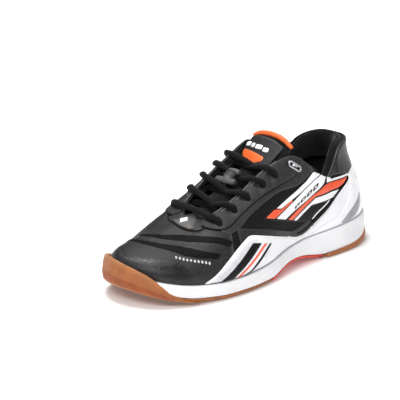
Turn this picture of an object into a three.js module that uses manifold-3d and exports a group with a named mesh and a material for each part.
// A left court shoe, built as its maker assembles it: gum outsole pieces, a moulded midsole with an arch
// plate, a board and a sockliner, a leather vamp and quarters with linings and stiffeners, outer panels
// and stripes, a padded collar, a tongue with a head that folds forward, and one lace through ten eyelets.
// Units are millimetres. +X points to the toe, +Y to the outer (lateral) side, +Z up; z = 0 is the ground.
import * as THREE from "three";
import { mergeVertices } from "three/addons/utils/BufferGeometryUtils.js";
import Module from "manifold-3d";

const wasm = await Module();
wasm.setup();

// ---------------------------------------------------------------------------------------------
// Driving dimensions
// ---------------------------------------------------------------------------------------------
const SOLE_THICKNESS = 4; // gum outsole under the foot
const GAP = 0.35; // air left between two pieces that touch
const FEATHER_INSET = 5; // the upper's lower edge lies this far inside the sole outline
const ARCH_LIFT = 6; // the arch rises this far above the flat of the outsole
const SHANK_THICKNESS = 2.4;
const SKIN = { outer: 1.5, inner: 0.5 }; // outer panels, measured out from the leather's face
const TRIM = { outer: 2.5, inner: 1.9 }; // stripes that lie on an outer panel
const LEATHER = 1.6;
const LINING = { outer: -2.9, inner: -3.6 };
const STIFFENER = { outer: -2, inner: -2.6 }; // toe puff and heel counter, between leather and lining
const COLLAR_PADDING = 6.5;
const LACE_DIAMETER = 5.4;
const LACE_OVER = 5.1; // height of the lace's middle over the leather's face
const LACE_UNDER = 8.1; // depth of the lace's middle under the leather's face
const EYELET_RADIUS = 3.9;
const COLUMNS = 3; // columns of a panel's mesh between two stations

// The last that the upper is pulled over, as 22 stations round the sole outline: heel back, outer side,
// toe tip (station 11), inner side. Each row is sole x, sole y, height of the upper's lower edge, then how
// the side profile leaves that edge (out, up) and how it arrives at the top line (out, down).
const STATIONS = [
  [-149, 0, 30, 3, 26, -2, 24],
  [-140, 26, 30, 4, 24, -2, 24],
  [-114, 41, 29, 4, 22, -1, 22],
  [-80, 44, 27, 4, 18, 3, 16],
  [-45, 42, 25, 4, 18, 6, 16],
  [-12, 45, 22, 4, 22, 12, 14],
  [20, 53, 18, 4, 24, 16, 12],
  [54, 56, 16, 5, 24, 18, 10],
  [88, 52, 16, 5, 22, 20, 9],
  [118, 41, 19, 5, 18, 22, 8],
  [140, 20, 24, 5, 16, 22, 8],
  [149, -7, 27, 5, 15, 20, 8],
  [141, -33, 24, 5, 19, 24, 7],
  [118, -47, 19, 5, 23, 26, 7],
  [86, -54, 16, 5, 27, 24, 8],
  [52, -52, 16, 5, 24, 18, 10],
  [20, -45, 18, 4, 26, 14, 12],
  [-12, -38, 22, 3, 24, 10, 14],
  [-45, -35, 25, 2, 20, 5, 16],
  [-80, -37, 27, 2, 18, 3, 16],
  [-114, -37, 29, 3, 22, 1, 20],
  [-140, -24, 30, 4, 24, -1, 22],
];
const TURN = STATIONS.length;
const TIP = 11;

// The top line: collar, throat edge of the outer side, bottom of the throat (row 9), throat edge of the
// inner side, collar.
const TOP_LINE = [
  [-125, 0, 104],
  [-117, 17, 104],
  [-98, 25, 98],
  [-75, 31, 75],
  [-54, 32, 88],
  [-33, 25, 101],
  [-5, 18, 92],
  [28, 16, 74],
  [58, 13, 62],
  [69, -3, 58],
  [58, -18, 65],
  [28, -22, 82],
  [-5, -24, 98],
  [-33, -28, 107],
  [-54, -32, 91],
  [-75, -31, 82],
  [-98, -25, 100],
  [-117, -16, 105],
];
const THROAT_ROW = 9;
const TOE_CREST = new THREE.Vector3(114, -6, 47); // where the crest of the vamp ends over the toes

// ---------------------------------------------------------------------------------------------
// The surface of the last
// ---------------------------------------------------------------------------------------------

// A closed uniform Catmull-Rom spline through rows of numbers.
function spline(rows, s) {
  const i = Math.floor(s);
  const u = s - i;
  const row = (k) => rows[(((i + k) % rows.length) + rows.length) % rows.length];
  const [a, b, c, d] = [row(-1), row(0), row(1), row(2)];
  return b.map((value, n) => {
    const linear = (c[n] - a[n]) * u;
    const square = (2 * a[n] - 5 * value + 4 * c[n] - d[n]) * u * u;
    const cube = (3 * value - a[n] - 3 * c[n] + d[n]) * u ** 3;
    return 0.5 * (2 * value + linear + square + cube);
  });
}

// A graph through [s, value] points, straight between them and level beyond them.
function graph(points) {
  return (s) => {
    if (s <= points[0][0]) return points[0][1];
    for (let i = 1; i < points.length; i++) {
      const [s1, v1] = points[i];
      if (s > s1) continue;
      const [s0, v0] = points[i - 1];
      return v0 + ((v1 - v0) * (s - s0)) / (s1 - s0);
    }
    return points[points.length - 1][1];
  };
}

const wrap = (s) => ((s % TURN) + TURN) % TURN;

// Unit plan normal of the sole outline, pointing out of the shoe.
function outlineNormal(s) {
  const step = 1e-3;
  const a = spline(STATIONS, s - step);
  const b = spline(STATIONS, s + step);
  return new THREE.Vector2(a[1] - b[1], b[0] - a[0]).normalize();
}

// A point of the sole outline moved in by inset.
function outlinePoint(s, inset, z) {
  const [x, y] = spline(STATIONS, s);
  const n = outlineNormal(s);
  return new THREE.Vector3(x - n.x * inset, y - n.y * inset, z);
}

const featherHeight = (s) => spline(STATIONS, s)[2];

// The top line at station s; round the toe it is the crest of the vamp, the same from both sides.
function topPoint(station) {
  const s = wrap(station);
  if (s <= THROAT_ROW) return new THREE.Vector3(...spline(TOP_LINE, s));
  if (s >= TURN - THROAT_ROW) return new THREE.Vector3(...spline(TOP_LINE, s - TURN + 2 * THROAT_ROW));
  const along = 1 - Math.abs(s - TIP) / (TIP - THROAT_ROW);
  return new THREE.Vector3(...TOP_LINE[THROAT_ROW]).lerp(TOE_CREST, along);
}

// The leather's outer face: t runs from 0 at the lower edge to 1 at the top line.
function facePoint(s, t) {
  const [, , height, lowOut, lowUp, highOut, highDown] = spline(STATIONS, s);
  const n = outlineNormal(s);
  const start = outlinePoint(s, FEATHER_INSET, height);
  const end = topPoint(s);
  const away = new THREE.Vector2(start.x - end.x, start.y - end.y).normalize();
  const leave = start.clone().add(new THREE.Vector3(n.x * lowOut, n.y * lowOut, lowUp));
  const arrive = end.clone().add(new THREE.Vector3(away.x * highOut, away.y * highOut, -highDown));
  return new THREE.CubicBezierCurve3(start, leave, arrive, end).getPoint(t);
}

function oneSidedNormal(s, t) {
  const step = 1e-3;
  const up = facePoint(s, Math.min(t + step, 1)).sub(facePoint(s, Math.max(t - step, 0)));
  const round = facePoint(s + step, t).sub(facePoint(s - step, t));
  return up.cross(round).normalize();
}

const onCrest = (s) => Math.abs(wrap(s) - TIP) <= TIP - THROAT_ROW + 1e-9;

// Unit normal of the face; on the crest of the vamp both sides share one.
function faceNormal(s, t) {
  if (t < 1 || !onCrest(s)) return oneSidedNormal(s, t);
  const near = TIP - Math.abs(wrap(s) - TIP);
  const inside = 0.97;
  return oneSidedNormal(near, inside).add(oneSidedNormal(TURN - near, inside)).normalize();
}

// A point at a height over the leather's outer face.
function layerPoint(s, t, height) {
  const folded = t >= 1 && onCrest(s) ? TIP - Math.abs(wrap(s) - TIP) : s;
  return facePoint(folded, t).addScaledVector(faceNormal(s, t), height);
}

// ---------------------------------------------------------------------------------------------
// Closed meshes
// ---------------------------------------------------------------------------------------------

// One closed geometry from triangles given as lists of three points.
function geometryOf(triangles) {
  const raw = new THREE.BufferGeometry().setFromPoints(triangles.flat());
  const merged = mergeVertices(raw, 1e-3);
  const index = merged.index.array;
  const kept = [];
  for (let i = 0; i < index.length; i += 3) {
    const [a, b, c] = [index[i], index[i + 1], index[i + 2]];
    if (a !== b && b !== c && c !== a) kept.push(a, b, c);
  }
  merged.setIndex(kept);
  return merged;
}

// Two triangles for the quadrilateral a, b, c, d, seen anticlockwise from outside.
const quad = (a, b, c, d) => [
  [a, b, c],
  [a, c, d],
];

function columnsBetween(from, to) {
  const columns = [from];
  for (let k = Math.ceil(from * COLUMNS); k / COLUMNS < to; k++) {
    const s = k / COLUMNS;
    if (s - from > 0.06 && to - s > 0.06) columns.push(s);
  }
  columns.push(to);
  return columns;
}

const asFunction = (value) => (typeof value === "function" ? value : () => value);

// A shell of the upper between two heights over the leather's face, from station to station and between
// two lines across t. Heights may depend on (s, v), where v runs from 0 to 1 up the shell.
function shell({ from, to, low = 0, high = 1, outer, inner, rows = 6 }) {
  const [lowAt, highAt, outerAt, innerAt] = [low, high, outer, inner].map(asFunction);
  const columns = columnsBetween(from, to);
  const side = (heightAt) =>
    columns.map((s) => {
      const points = [];
      for (let j = 0; j <= rows; j++) {
        const v = j / rows;
        const t = j === rows ? highAt(s) : lowAt(s) + (highAt(s) - lowAt(s)) * v;
        points.push(layerPoint(s, t, heightAt(s, v)));
      }
      return points;
    });
  const out = side(outerAt);
  const inn = side(innerAt);
  const triangles = [];
  const last = columns.length - 1;
  for (let i = 0; i < last; i++) {
    for (let j = 0; j < rows; j++) {
      triangles.push(...quad(out[i][j], out[i][j + 1], out[i + 1][j + 1], out[i + 1][j]));
      triangles.push(...quad(inn[i][j], inn[i + 1][j], inn[i + 1][j + 1], inn[i][j + 1]));
    }
    triangles.push(...quad(inn[i][0], out[i][0], out[i + 1][0], inn[i + 1][0]));
    const closed = highAt(columns[i]) >= 1 && onCrest(columns[i]) && onCrest(columns[i + 1]);
    if (!closed) {
      triangles.push(...quad(out[i][rows], inn[i][rows], inn[i + 1][rows], out[i + 1][rows]));
    }
  }
  for (let j = 0; j < rows; j++) {
    triangles.push(...quad(out[0][j], inn[0][j], inn[0][j + 1], out[0][j + 1]));
    triangles.push(...quad(inn[last][j], out[last][j], out[last][j + 1], inn[last][j + 1]));
  }
  return geometryOf(triangles);
}

// A solid across the whole width of the sole, from station to station of one side and the same stations
// of the other. Each ring is { inset, z }, from the bottom up; both may depend on the station.
function soleBlock(from, to, rings) {
  const near = columnsBetween(from, to);
  const far = near.map((s) => TURN - s).reverse();
  const stations = [...near, ...far];
  const loops = rings.map(({ inset, z }) =>
    stations.map((s) => outlinePoint(s, asFunction(inset)(s), asFunction(z)(s))),
  );
  const count = stations.length;
  const triangles = [];
  for (let r = 0; r + 1 < loops.length; r++) {
    for (let i = 0; i < count; i++) {
      const k = (i + 1) % count;
      triangles.push(...quad(loops[r][i], loops[r + 1][i], loops[r + 1][k], loops[r][k]));
    }
  }
  const bottom = loops[0];
  const top = loops[loops.length - 1];
  for (let i = 0; i + 1 < near.length; i++) {
    const [m, n] = [count - 1 - i, count - 2 - i];
    triangles.push(...quad(top[i], top[m], top[n], top[i + 1]));
    triangles.push(...quad(bottom[i], bottom[i + 1], bottom[n], bottom[m]));
  }
  return geometryOf(triangles);
}

// A wall that stands on the sole outline: corners are { inset, z } in order round its section, starting
// outside at the bottom and going up.
function soleWall(from, to, corners) {
  const sections = columnsBetween(from, to).map((s) =>
    corners.map(({ inset, z }) => outlinePoint(s, asFunction(inset)(s), asFunction(z)(s))),
  );
  return loft(sections);
}

// A closed solid through sections with the same number of corners. Seen from the start of the loft,
// looking along it, each section's corners run clockwise.
function loft(sections) {
  const triangles = [];
  const count = sections[0].length;
  for (let i = 0; i + 1 < sections.length; i++) {
    for (let k = 0; k < count; k++) {
      const n = (k + 1) % count;
      triangles.push(...quad(sections[i][k], sections[i][n], sections[i + 1][n], sections[i + 1][k]));
    }
  }
  const first = sections[0];
  const final = sections[sections.length - 1];
  for (let k = 1; k + 1 < count; k++) {
    triangles.push([first[0], first[k + 1], first[k]]);
    triangles.push([final[0], final[k], final[k + 1]]);
  }
  return geometryOf(triangles);
}

function outlineShape(points) {
  return new THREE.Shape(points.map(([x, y]) => new THREE.Vector2(x, y)));
}

// A solid that stands across one side of the shoe over an outline in the side view, as [x, z] points.
function sidePrism(points, side) {
  const depth = 95;
  const prism = new THREE.ExtrudeGeometry(outlineShape(points), { depth, bevelEnabled: false });
  prism.rotateX(Math.PI / 2);
  prism.translate(0, side > 0 ? depth : 0, 0);
  return prism;
}

// A solid that stands over an outline in the plan view, as [x, y] points.
function planPrism(points) {
  return new THREE.ExtrudeGeometry(outlineShape(points), { depth: 140, bevelEnabled: false });
}

function solidOf(geometry) {
  const bare = geometry.clone();
  bare.deleteAttribute("normal");
  bare.deleteAttribute("uv");
  const merged = mergeVertices(bare, 1e-3);
  const vertProperties = new Float32Array(merged.attributes.position.array);
  const triVerts = new Uint32Array(merged.index.array);
  return new wasm.Manifold(new wasm.Mesh({ numProp: 3, vertProperties, triVerts }));
}

function geometryOfSolid(solid) {
  const { vertProperties, triVerts, numProp } = solid.getMesh();
  const geometry = new THREE.BufferGeometry();
  geometry.setAttribute("position", new THREE.BufferAttribute(new Float32Array(vertProperties), numProp));
  geometry.setIndex(new THREE.BufferAttribute(new Uint32Array(triVerts), 1));
  return geometry;
}

const cut = (geometry, ...tools) =>
  geometryOfSolid(tools.reduce((solid, tool) => solid.subtract(solidOf(tool)), solidOf(geometry)));
const join = (geometry, ...others) =>
  geometryOfSolid(others.reduce((solid, other) => solid.add(solidOf(other)), solidOf(geometry)));
const common = (geometry, tool) => geometryOfSolid(solidOf(geometry).intersect(solidOf(tool)));

// ---------------------------------------------------------------------------------------------
// Materials and the group
// ---------------------------------------------------------------------------------------------
const finish = (color, roughness, metalness = 0) => ({ color, roughness, metalness });
const GUM = finish(0xb4713a, 0.6);
const WHITE = finish(0xeeeef0, 0.45);
const RED = finish(0xe64a2e, 0.5);
const ORANGE = finish(0xf0602a, 0.5);
const GREY_LEATHER = finish(0x48484a, 0.6);
const BLACK_LEATHER = finish(0x1b1b1d, 0.4);
const BLACK_MESH = finish(0x232325, 0.85);
const LINING_CLOTH = finish(0x1a1a1b, 0.95);
const BOARD = finish(0xcfc6b2, 0.9);
const GREY_RUBBER = finish(0x6a6a6c, 0.7);
const SILVER = finish(0xc4c4c8, 0.3, 0.9);

const shoe = new THREE.Group();
function place(name, geometry, material, parent = shoe) {
  const plain = geometry.index ? geometry.toNonIndexed() : geometry;
  plain.computeVertexNormals();
  const mesh = new THREE.Mesh(plain, new THREE.MeshStandardMaterial(material));
  mesh.name = name;
  parent.add(mesh);
  return mesh;
}

// ---------------------------------------------------------------------------------------------
// Sole
// ---------------------------------------------------------------------------------------------

// Height of the sole's underside over the ground: flat, with a little heel bevel and a toe spring.
const GROUND_PROFILE = graph([
  [-150, 4],
  [-130, 1],
  [-112, 0],
  [80, 0],
  [110, 2.5],
  [135, 8],
  [150, 14],
]);
const groundAt = (s) => GROUND_PROFILE(spline(STATIONS, s)[0]);

// The arch is a smooth hump between the two outsole pieces.
const ARCH = { start: -62, end: 20 };
function archAt(s) {
  const [x] = spline(STATIONS, s);
  const u = (x - ARCH.start) / (ARCH.end - ARCH.start);
  if (u <= 0 || u >= 1) return 0;
  return ARCH_LIFT * Math.sin(Math.PI * u) ** 1.5;
}

const FOREFOOT_START = 6.02;
const HEEL_END = 3.55;
const gumTop = (s) => groundAt(s) + SOLE_THICKNESS;
const gumPlate = (from, to) =>
  soleBlock(from, to, [
    { inset: 5, z: groundAt },
    { inset: 2, z: (s) => groundAt(s) + 1.5 },
    { inset: 1, z: gumTop },
  ]);

// The gum rises round the toe as a bumper, further back on the inner side, and round the heel back.
const TOE_BUMPER_TOP = graph([
  [8.5, 3.8],
  [8.9, 6],
  [9.5, 19],
  [10, 27],
  [11, 32],
  [12, 30],
  [13, 24],
  [14, 19.5],
  [15, 17],
  [15.6, 3.8],
]);
const HEEL_BUMPER_TOP = graph([
  [-3, 3.8],
  [-2.4, 8],
  [-1.4, 14],
  [-0.5, 26],
  [0, 28],
  [0.5, 26],
  [1.4, 14],
  [2.4, 8],
  [3, 3.8],
]);
const gumWall = (from, to, top, extra) =>
  soleWall(from, to, [
    { inset: 1.6 - 4 * extra, z: (s) => groundAt(s) + 1.5 - 2 * extra },
    { inset: -4 * extra, z: (s) => top(s) + extra },
    { inset: 1.5 + extra, z: (s) => top(s) + extra },
    { inset: 2.9 + extra, z: (s) => Math.min(top(s) - 0.3, featherHeight(s) - 1) + extra },
    { inset: 3.6 + extra, z: (s) => groundAt(s) + 1.5 - 2 * extra },
  ]);
const toeWall = (extra) => gumWall(8.5 - extra / 20, 15.6 + extra / 20, TOE_BUMPER_TOP, extra);
const heelWall = (extra) => gumWall(-3 - extra / 20, 3 + extra / 20, HEEL_BUMPER_TOP, extra);

place("outsole_forefoot", join(gumPlate(FOREFOOT_START, TIP), toeWall(0)), GUM);
place("outsole_heel", join(gumPlate(0, HEEL_END), heelWall(0)), GUM);

const shankBottom = (s) => SOLE_THICKNESS - SHANK_THICKNESS + archAt(s);
place(
  "shank_plate",
  soleBlock(HEEL_END + 0.03, FOREFOOT_START - 0.03, [
    { inset: 3, z: shankBottom },
    { inset: 1, z: (s) => shankBottom(s) + SHANK_THICKNESS },
  ]),
  RED,
);

const midsoleBottom = (s) => gumTop(s) + archAt(s) + GAP;
const midsoleTop = (s) => featherHeight(s) - 0.7;
place(
  "midsole",
  cut(
    soleBlock(0, TIP, [
      { inset: 1.2, z: midsoleBottom },
      { inset: 0, z: (s) => midsoleBottom(s) + 3 },
      { inset: 1.2, z: midsoleTop },
    ]),
    toeWall(GAP),
    heelWall(GAP),
  ),
  WHITE,
);

const boardBottom = (s) => featherHeight(s) + GAP;
place(
  "strobel_board",
  soleBlock(0, TIP, [
    { inset: 11.5, z: boardBottom },
    { inset: 11.5, z: (s) => boardBottom(s) + 1.4 },
  ]),
  BOARD,
);
place(
  "sockliner",
  soleBlock(0, TIP, [
    { inset: 12, z: (s) => boardBottom(s) + 1.4 + GAP },
    { inset: 12, z: (s) => boardBottom(s) + 5.4 },
  ]),
  ORANGE,
);

// ---------------------------------------------------------------------------------------------
// Eyelets: places of the holes, the holes themselves and the plates of the top pair
// ---------------------------------------------------------------------------------------------
const EYELET_STATIONS = [7.76, 7.21, 6.71, 6.17, 5.69];
const EYELET_ACROSS = [0.77, 0.81, 0.82, 0.81, 0.82];
const eyelets = { outer: [], inner: [] };
EYELET_STATIONS.forEach((s, i) => {
  eyelets.outer.push({ s, t: EYELET_ACROSS[i] });
  eyelets.inner.push({ s: TURN - s, t: EYELET_ACROSS[i] + 0.02 });
});

// Direction across the face from an eyelet towards the throat.
function towardsThroat({ s, t }) {
  return facePoint(s, t + 0.02).sub(facePoint(s, t - 0.02)).normalize();
}

// A short rod through all layers at an eyelet, leaning towards the throat as the lace does.
function eyeletRod(eyelet) {
  const rod = new THREE.CylinderGeometry(EYELET_RADIUS, EYELET_RADIUS, 14, 8);
  const normal = faceNormal(eyelet.s, eyelet.t);
  const turn = new THREE.Quaternion().setFromUnitVectors(new THREE.Vector3(0, 1, 0), normal);
  const middle = layerPoint(eyelet.s, eyelet.t, -1).addScaledVector(towardsThroat(eyelet), 0.6);
  return rod.applyQuaternion(turn).translate(middle.x, middle.y, middle.z);
}
const rods = {
  outer: eyelets.outer.map(eyeletRod),
  inner: eyelets.inner.map(eyeletRod),
};

// ---------------------------------------------------------------------------------------------
// Upper: leather, stiffeners and linings
// ---------------------------------------------------------------------------------------------
const SEAM = 7.42; // station of the seam between vamp and quarter
const SEAM_GAP = 0.012; // in stations
const BACK_GAP = 0.01; // in stations, from the middle of the heel to each quarter
const LINING_LOW = 0.015; // t of the lowest edge of linings and outer panels
const COLLAR_END = 4.6; // the collar padding runs to this station on both sides of the heel

place(
  "vamp",
  cut(
    shell({ from: SEAM, to: TURN - SEAM, outer: 0, inner: -LEATHER }),
    rods.outer[0],
    rods.inner[0],
  ),
  GREY_LEATHER,
);
place(
  "quarter_lateral",
  cut(
    shell({ from: BACK_GAP, to: SEAM - SEAM_GAP, outer: 0, inner: -LEATHER }),
    ...rods.outer.slice(1),
  ),
  BLACK_MESH,
);
place(
  "quarter_medial",
  cut(
    shell({ from: TURN - SEAM + SEAM_GAP, to: TURN - BACK_GAP, outer: 0, inner: -LEATHER }),
    ...rods.inner.slice(1),
  ),
  BLACK_MESH,
);
place(
  "toe_puff",
  shell({ from: 9.66, to: 12.34, low: 1 / 6, high: 2 / 3, ...STIFFENER, rows: 3 }),
  BOARD,
);
place(
  "heel_counter",
  shell({ from: -2.6, to: 2.6, low: 0.03, high: 0.55, ...STIFFENER, rows: 5 }),
  BOARD,
);
place(
  "vamp_lining",
  cut(
    shell({ from: SEAM, to: TURN - SEAM, low: LINING_LOW, ...LINING }),
    rods.outer[0],
    rods.inner[0],
  ),
  LINING_CLOTH,
);
place(
  "quarter_lining_lateral",
  cut(
    shell({ from: COLLAR_END + 0.02, to: SEAM - SEAM_GAP, low: LINING_LOW, ...LINING }),
    ...rods.outer.slice(1),
  ),
  LINING_CLOTH,
);
place(
  "quarter_lining_medial",
  cut(
    shell({ from: TURN - SEAM + SEAM_GAP, to: TURN - COLLAR_END - 0.02, low: LINING_LOW, ...LINING }),
    ...rods.inner.slice(1),
  ),
  LINING_CLOTH,
);
const PAD_LOW = 0.64;
place(
  "heel_lining",
  shell({ from: -COLLAR_END, to: COLLAR_END, low: LINING_LOW, high: PAD_LOW - 0.01, ...LINING }),
  LINING_CLOTH,
);
place(
  "collar_pad",
  shell({
    from: -COLLAR_END,
    to: COLLAR_END,
    low: PAD_LOW,
    high: 1,
    outer: -LEATHER - GAP,
    inner: (s, v) => -LEATHER - 1.4 - COLLAR_PADDING * Math.sqrt(Math.sin(Math.PI * (0.08 + 0.84 * v))),
    rows: 5,
  }),
  LINING_CLOTH,
);

// ---------------------------------------------------------------------------------------------
// Upper: outer panels
// ---------------------------------------------------------------------------------------------
const EYESTAY_LOW = graph([
  [4.72, 0.8],
  [5, 0.74],
  [5.6, 0.68],
  [6.2, 0.66],
  [7.05, 0.68],
  [7.74, 0.66],
  [8.3, 0.82],
]);
const EYESTAY = { from: 4.72, to: 8.3, innerTo: 8 };
place(
  "eyestay_lateral",
  cut(
    shell({ from: EYESTAY.from, to: EYESTAY.to, low: EYESTAY_LOW, ...SKIN, rows: 4 }),
    ...rods.outer,
  ),
  GREY_LEATHER,
);
place(
  "eyestay_medial",
  cut(
    shell({
      from: TURN - EYESTAY.innerTo,
      to: TURN - EYESTAY.from,
      low: (s) => EYESTAY_LOW(TURN - s),
      ...SKIN,
      rows: 4,
    }),
    ...rods.inner,
  ),
  GREY_LEATHER,
);

const FOXING_END = 2.28;
place(
  "heel_foxing",
  shell({ from: -FOXING_END, to: FOXING_END, low: LINING_LOW, high: 0.53, ...SKIN }),
  WHITE,
);
const COLLAR_PANEL_HIGH = graph([
  [-2.75, 0.9],
  [-2.2, 0.97],
  [2.2, 0.97],
  [2.75, 0.9],
]);
place(
  "heel_collar_panel",
  shell({ from: -2.75, to: 2.75, low: 0.6, high: COLLAR_PANEL_HIGH, ...SKIN, rows: 5 }),
  BLACK_LEATHER,
);

// Side panels as outlines in the side view, [x, z].
const SIDE_OVERLAY = [
  [100, 8],
  [97, 16],
  [88, 23],
  [74, 32],
  [59, 39.6],
  [43, 46.5],
  [15, 40.5],
  [-24, 30.5],
  [-49, 37.5],
  [-73, 50],
  [-89, 58],
  [-106, 66],
  [-112, 8],
];
const MEDIAL_OVERLAY = [
  [56, 8],
  [40, 22],
  [-10, 29],
  [-49, 34],
  [-73, 45],
  [-89, 55],
  [-106, 66],
  [-112, 8],
];
const sideSkin = (from, to) => shell({ from, to, low: LINING_LOW, high: 0.64, ...SKIN });
const outerSkin = sideSkin(FOXING_END + SEAM_GAP, 8.6);
const innerSkin = sideSkin(TURN - 8.6, TURN - FOXING_END - SEAM_GAP);
place("side_overlay_lateral", common(outerSkin, sidePrism(SIDE_OVERLAY, 1)), WHITE);
place("side_overlay_medial", common(innerSkin, sidePrism(MEDIAL_OVERLAY, -1)), WHITE);

const TOE_CAP_HIGH = graph([
  [8.45, 0.1],
  [9, 0.3],
  [10, 0.4],
  [11, 0.42],
  [12, 0.36],
  [13.4, 0.26],
]);
place(
  "toe_cap",
  shell({
    from: 8.45,
    to: 13.4,
    low: LINING_LOW,
    high: TOE_CAP_HIGH,
    outer: SKIN.outer,
    inner: 0.7,
    rows: 5,
  }),
  BLACK_LEATHER,
);

// Two raised bands across the vamp and the badge at the bottom of the throat, as outlines in plan.
const vampSkin = shell({ from: 7.44, to: TURN - 7.44, low: 0.3, high: 1, ...SKIN, rows: 7 });
const UPPER_BAND = [
  [58, 44],
  [73, 33],
  [80, 22],
  [90, 8],
  [99, -4],
  [103, -14],
  [103, -27],
  [110, -27],
  [110, -12],
  [104, 3],
  [93, 17],
  [85, 28],
  [78, 37],
  [64, 47],
];
const LOWER_BAND = [
  [74, 47],
  [86, 35],
  [95, 25],
  [106, 9],
  [113, -2],
  [116, -12],
  [116, -24],
  [122, -24],
  [122, -10],
  [118, 2],
  [110, 15],
  [99, 30],
  [90, 40],
  [80, 48],
];
const THROAT_BADGE = [
  [69, -25],
  [74, -27],
  [80, -20],
  [84, -6],
  [83, 4],
  [78, 13],
  [66, 10],
];
place("vamp_band_upper", common(vampSkin, planPrism(UPPER_BAND)), BLACK_LEATHER);
place("vamp_band_lower", common(vampSkin, planPrism(LOWER_BAND)), BLACK_LEATHER);
place("throat_badge", common(vampSkin, planPrism(THROAT_BADGE)), GREY_RUBBER);

// Stripes on the outer side: two on the white panel, two on the dark quarter.
const trimSkin = shell({ from: 5.6, to: 8.4, low: 0.03, high: 0.5, ...TRIM, rows: 4 });
const BLACK_STRIPE = [
  [41.5, 41],
  [31.6, 38.6],
  [67, 17],
  [82, 17],
];
const ORANGE_STRIPE = [
  [28.5, 38],
  [24.5, 37],
  [60.5, 17],
  [64.5, 17],
];
place("stripe_black", common(trimSkin, sidePrism(BLACK_STRIPE, 1)), BLACK_LEATHER);
place("stripe_orange", common(trimSkin, sidePrism(ORANGE_STRIPE, 1)), ORANGE);

const quarterSkin = shell({ from: 2.8, to: 6.4, low: 0.2, high: 0.98, ...SKIN, rows: 7 });
const QUARTER_BAND = [
  [4.5, 53],
  [-8, 49.7],
  [-75, 72],
  [-75, 78],
  [-54, 84],
];
const QUARTER_WEDGE = [
  [-15, 47],
  [-22, 46],
  [-50, 57],
  [-79, 61],
  [-79, 68.5],
  [-52, 61.5],
];
place("quarter_band_white", common(quarterSkin, sidePrism(QUARTER_BAND, 1)), WHITE);
place("quarter_wedge_orange", common(quarterSkin, sidePrism(QUARTER_WEDGE, 1)), ORANGE);

// Inner side: an orange wedge low on the forefoot, rising to the rear.
const MEDIAL_WEDGE = [
  [95, 24],
  [62, 44],
  [30, 50],
  [30, 43],
  [60, 32],
  [84, 20],
];
const medialSkin = shell({ from: 13.4, to: 16.4, low: 0.05, high: 0.62, ...SKIN, rows: 5 });
place("medial_wedge_orange", common(medialSkin, sidePrism(MEDIAL_WEDGE, -1)), ORANGE);

// Grey crescents set on the heel foxing, one each side.
const CRESCENT = [
  [-118, 51],
  [-121.5, 40],
  [-110, 31],
  [-104, 30.6],
  [-112, 40],
  [-114, 49],
];
const heelTrim = (from, to) => shell({ from, to, low: 0.02, high: 0.45, ...TRIM, rows: 3 });
place("heel_insert_lateral", common(heelTrim(1, 2.25), sidePrism(CRESCENT, 1)), GREY_RUBBER);
place("heel_insert_medial", common(heelTrim(TURN - 2.25, TURN - 1), sidePrism(CRESCENT, -1)), GREY_RUBBER);

// ---------------------------------------------------------------------------------------------
// Eyelet plates: a racetrack of metal with two holes, above the top eyelet of each side
// ---------------------------------------------------------------------------------------------
function eyeletPlate(s, t) {
  const [half, radius, hole] = [4.6, 3.3, 1.5];
  const shape = new THREE.Shape();
  shape.absarc(-half, 0, radius, Math.PI / 2, (3 * Math.PI) / 2);
  shape.absarc(half, 0, radius, -Math.PI / 2, Math.PI / 2);
  for (const x of [-half, half]) shape.holes.push(new THREE.Path().absarc(x, 0, hole, 0, 2 * Math.PI));
  const plate = new THREE.ExtrudeGeometry(shape, { depth: 1, bevelEnabled: false, curveSegments: 4 });
  const normal = faceNormal(s, t);
  const along = facePoint(s - 0.1, t).sub(facePoint(s + 0.1, t)).normalize();
  const across = new THREE.Vector3().crossVectors(normal, along).normalize();
  const middle = layerPoint(s, t, SKIN.outer + 0.7);
  plate.applyMatrix4(new THREE.Matrix4().makeBasis(along, across, normal).setPosition(middle));
  return plate;
}
const PLATE = { s: 5.1, t: 0.87 };
place("eyelet_plate_lateral", eyeletPlate(PLATE.s, PLATE.t), SILVER);
place("eyelet_plate_medial", eyeletPlate(TURN - PLATE.s, PLATE.t), SILVER);

// ---------------------------------------------------------------------------------------------
// Tongue: a flat lower part, and a padded head that folds about the hinge line
// ---------------------------------------------------------------------------------------------

// A section across the tongue, with its top edge level and its lower corners chamfered.
function tongueSection({ x, z, lean, left, right, thick }) {
  const down = new THREE.Vector3(-Math.sin(lean), 0, -Math.cos(lean));
  const at = (y, depth) => new THREE.Vector3(x, y, z).addScaledVector(down, depth);
  const round = thick * 0.3;
  return [
    at(left, round),
    at(left + round, 0),
    at(right - round, 0),
    at(right, round),
    at(right, thick - round),
    at(right - round, thick),
    at(left + round, thick),
    at(left, thick - round),
  ];
}

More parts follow.
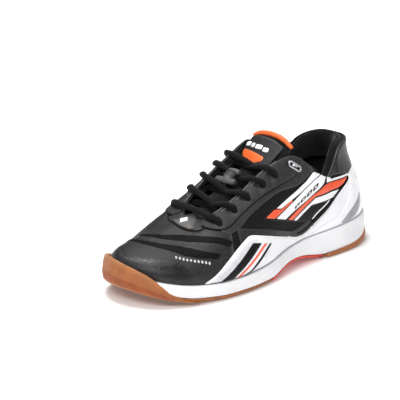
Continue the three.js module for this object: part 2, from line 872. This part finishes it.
const TONGUE_LOWER = [
  { x: 84, z: 44, lean: 0.1, left: -20, right: 13, thick: 3 },
  { x: 69, z: 49.5, lean: 0.2, left: -23, right: 17, thick: 3.5 },
  { x: 58, z: 50.5, lean: 0.2, left: -24, right: 15, thick: 4 },
  { x: 45, z: 52.5, lean: 0.25, left: -25, right: 16, thick: 4.5 },
  { x: 35, z: 57, lean: 0.45, left: -27, right: 23, thick: 5 },
  { x: 25, z: 61.5, lean: 0.55, left: -27, right: 23, thick: 5 },
  { x: 13, z: 68, lean: 0.58, left: -26, right: 22, thick: 5 },
  { x: 0, z: 75.5, lean: 0.58, left: -25, right: 20, thick: 5 },
  { x: -10, z: 82.5, lean: 0.58, left: -22, right: 18, thick: 5 },
];
const TONGUE_HEAD = [
  { x: -15, z: 86.5, lean: 0.75, left: -18, right: 13.5, thick: 4 },
  { x: -18, z: 92.5, lean: 0.75, left: -19.5, right: 15, thick: 9 },
  { x: -25, z: 101, lean: 0.72, left: -22, right: 18, thick: 12 },
  { x: -31, z: 108, lean: 0.72, left: -24, right: 20.5, thick: 12 },
  { x: -36, z: 112.5, lean: 0.6, left: -23.5, right: 20, thick: 9 },
];
const tongue = (sections) => loft(sections.map(tongueSection));
place("tongue_lower", tongue(TONGUE_LOWER), BLACK_MESH);
place("tongue_head", tongue(TONGUE_HEAD), GREY_LEATHER);

// The rolled edge along the top of the tongue head.
function rolledEdge(from, to, radius) {
  const path = new THREE.CatmullRomCurve3([
    from,
    from.clone().lerp(to, 0.5).add(new THREE.Vector3(-1.5, 0, 2)),
    to,
  ]);
  const section = new THREE.Shape().absarc(0, 0, radius, 0, 2 * Math.PI);
  return new THREE.ExtrudeGeometry(section, { steps: 8, extrudePath: path, curveSegments: 4 });
}
place(
  "tongue_top_binding",
  rolledEdge(new THREE.Vector3(-41, -24, 114), new THREE.Vector3(-41, 20, 112), 2.4),
  ORANGE,
);

// A flat patch on the tongue's front, with its plan outline in the tongue's own plane.
function tonguePatch(points, centre, lean, lift, thickness) {
  const patch = new THREE.ExtrudeGeometry(outlineShape(points), { depth: thickness, bevelEnabled: false });
  const along = new THREE.Vector3(-Math.cos(lean), 0, Math.sin(lean));
  const across = new THREE.Vector3(0, -1, 0);
  const normal = new THREE.Vector3(Math.sin(lean), 0, Math.cos(lean));
  const middle = centre.clone().addScaledVector(normal, lift);
  return patch.applyMatrix4(new THREE.Matrix4().makeBasis(along, across, normal).setPosition(middle));
}
const HEAD_PATCH = [
  [-7, -7],
  [-3, -9.5],
  [6, -9.5],
  [6, 9.5],
  [-3, 9.5],
  [-7, 7],
];
place(
  "tongue_patch",
  tonguePatch(HEAD_PATCH, new THREE.Vector3(-23, -2, 98.4), 0.87, 0.9, 0.8),
  ORANGE,
);
const KEEPER = [
  [-7, -9],
  [-2, -9],
  [1, -4],
  [10, -4],
  [10, 4],
  [1, 4],
  [-2, 9],
  [-7, 9],
];
place(
  "lace_keeper",
  tonguePatch(KEEPER, new THREE.Vector3(19, -1, 65.5), 0.55, 0.5, 1.4),
  GREY_RUBBER,
);

// ---------------------------------------------------------------------------------------------
// Lace: a bar over the lowest pair of eyelets, then strands that leave under one edge of the throat,
// cross the tongue and enter the next eyelet of the other side from above; both ends are tucked inside
// ---------------------------------------------------------------------------------------------
const CROSSING_LIFT = 3.4; // at a crossing the strand that runs to the inner side passes on top
const CROSSING_DIP = 1.9;

// The points of the lace round one eyelet, from over the panel to under its throat edge.
function throughEyelet(eyelet) {
  const out = towardsThroat(eyelet);
  const along = facePoint(eyelet.s, 1).distanceTo(facePoint(eyelet.s, eyelet.t));
  const step = eyelet.s > TIP ? 0.12 : -0.12;
  return [
    layerPoint(eyelet.s, eyelet.t, LACE_OVER).addScaledVector(out, along * 1.3),
    layerPoint(eyelet.s, eyelet.t, LACE_OVER - 0.3).addScaledVector(out, 3),
    layerPoint(eyelet.s, eyelet.t, 1.8).addScaledVector(out, 0.3),
    layerPoint(eyelet.s, eyelet.t, -4.2).addScaledVector(out, 0.3),
    layerPoint(eyelet.s + step * 0.5, eyelet.t, -LACE_UNDER).addScaledVector(out, 3.4),
    layerPoint(eyelet.s + step, 0.98, -LACE_UNDER),
  ];
}

// Half of the lace: from the middle of the bar, up through five eyelets on alternate sides.
function laceHalf(startsOutside) {
  const points = [];
  for (let row = 0; row < EYELET_STATIONS.length; row++) {
    const outside = row % 2 === 0 ? startsOutside : !startsOutside;
    const eyelet = (outside ? eyelets.outer : eyelets.inner)[row];
    const passage = throughEyelet(eyelet);
    if (row > 0) {
      const before = points[points.length - 1];
      const middle = before.clone().lerp(passage[0], 0.5);
      middle.z += outside ? -CROSSING_DIP : CROSSING_LIFT;
      points.push(middle);
    }
    const topRow = row === EYELET_STATIONS.length - 1;
    points.push(...(topRow ? [...passage.slice(0, 5), ...tail(eyelet)] : passage));
  }
  return points;
}

// The end of the lace, tucked down between the tongue and the lining.
function tail(eyelet) {
  const side = Math.sign(facePoint(eyelet.s, eyelet.t).y);
  return [new THREE.Vector3(-17, side * 22.5 - 1, 76), new THREE.Vector3(-24, side * 24 - 1, 67)];
}

const outerHalf = laceHalf(true);
const innerHalf = laceHalf(false);
const barMiddle = outerHalf[0].clone().lerp(innerHalf[0], 0.5);
barMiddle.z += 0.6;
const laceCurve = new THREE.CatmullRomCurve3(
  [...innerHalf.reverse(), barMiddle, ...outerHalf],
  false,
  "centripetal",
);
const laceSection = new THREE.Shape().absarc(0, 0, LACE_DIAMETER / 2, 0, 2 * Math.PI);
place(
  "lace",
  new THREE.ExtrudeGeometry(laceSection, { steps: 96, extrudePath: laceCurve, curveSegments: 4 }),
  BLACK_MESH,
);

export default shoe;
